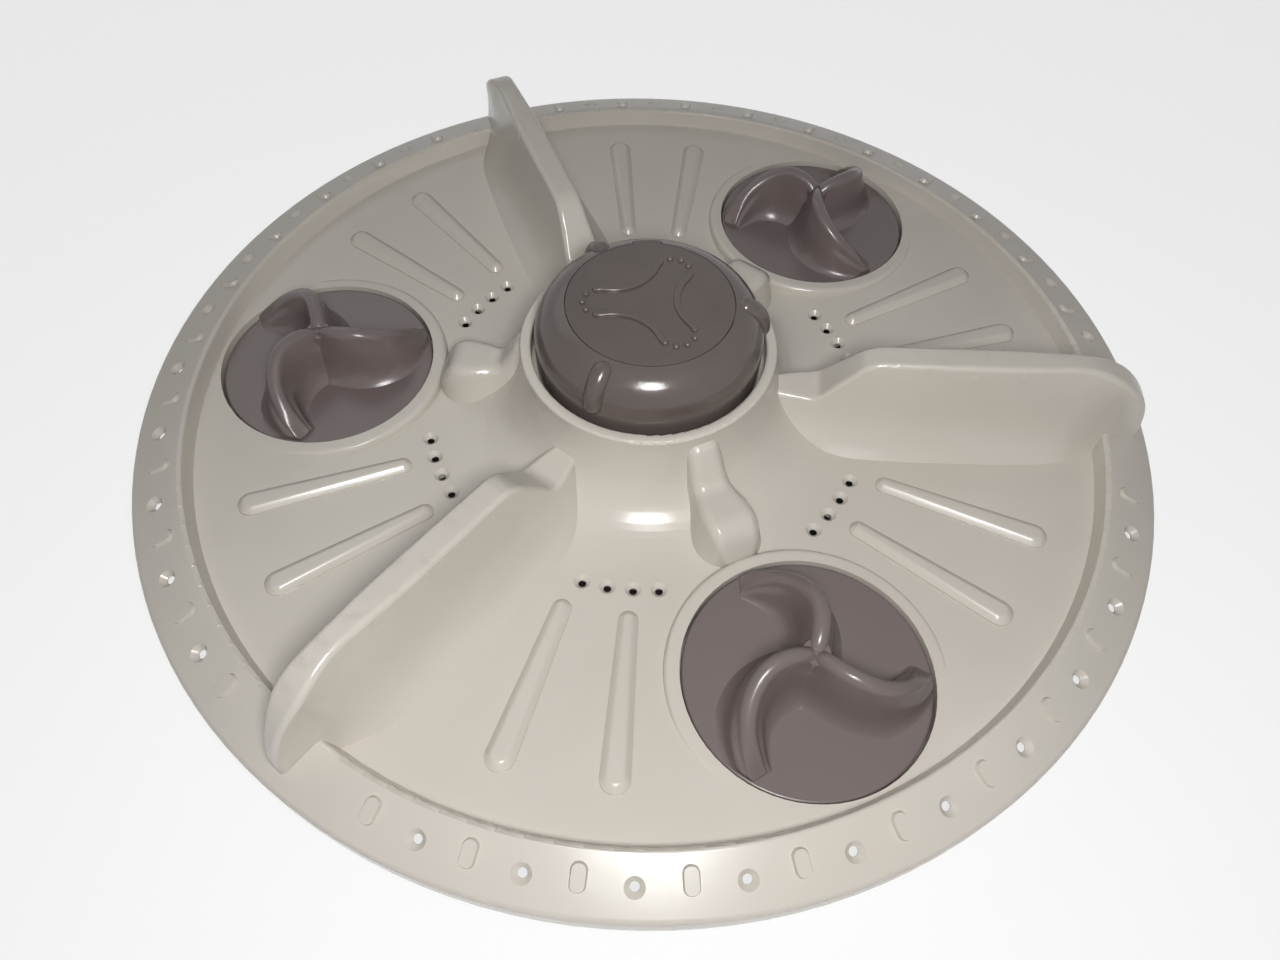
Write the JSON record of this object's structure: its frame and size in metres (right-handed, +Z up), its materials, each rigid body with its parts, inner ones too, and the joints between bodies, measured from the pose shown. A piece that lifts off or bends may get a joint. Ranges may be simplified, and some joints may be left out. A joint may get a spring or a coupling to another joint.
{
  "type": "washing machine wash plate",
  "caption": "Round dished wash plate with upright paddles, a capped hub and small swirl-armed pulsators that turn freely in round pockets as the plate stirs the water.",
  "frame": {"origin": "on the drive axis, at the plane the plate rests on", "axes": "+Z up along the drive axis, out of the wash tub floor; +X along the first paddle"},
  "size_m": [0.4, 0.4, 0.0703],
  "materials": {
    "plate_plastic": "glossy moulded",
    "dark_plastic": "glossy moulded",
    "bush_plastic": "plain moulded",
    "drive_metal": "machined",
    "screw_metal": "plain stainless"
  },
  "bodies": {
    "plate": {"wash_plate": "plate_plastic", "drive_bush": "drive_metal", "cap_dome": "dark_plastic", "cap_disc": "dark_plastic", "pivot_bush_a": "bush_plastic", "pivot_bush_b": "bush_plastic", "pivot_bush_c": "bush_plastic"},
    "pulsator_a": {"small_pulsator_a": "dark_plastic", "retaining_washer_a": "screw_metal", "retaining_screw_a": "screw_metal"},
    "pulsator_b": {"small_pulsator_b": "dark_plastic", "retaining_washer_b": "screw_metal", "retaining_screw_b": "screw_metal"},
    "pulsator_c": {"small_pulsator_c": "dark_plastic", "retaining_washer_c": "screw_metal", "retaining_screw_c": "screw_metal"}
  },
  "joints": [
    {"name": "pulsator_a_spin", "type": "hinge", "parent": "plate", "child": "pulsator_a", "pos_m": [0.06675, 0.11561, 0.008], "axis": [0, 0, 1], "continuous": true},
    {"name": "pulsator_b_spin", "type": "hinge", "parent": "plate", "child": "pulsator_b", "pos_m": [-0.1335, 0, 0.008], "axis": [0, 0, 1], "continuous": true},
    {"name": "pulsator_c_spin", "type": "hinge", "parent": "plate", "child": "pulsator_c", "pos_m": [0.06675, -0.11561, 0.008], "axis": [0, 0, 1], "continuous": true}
  ]
}
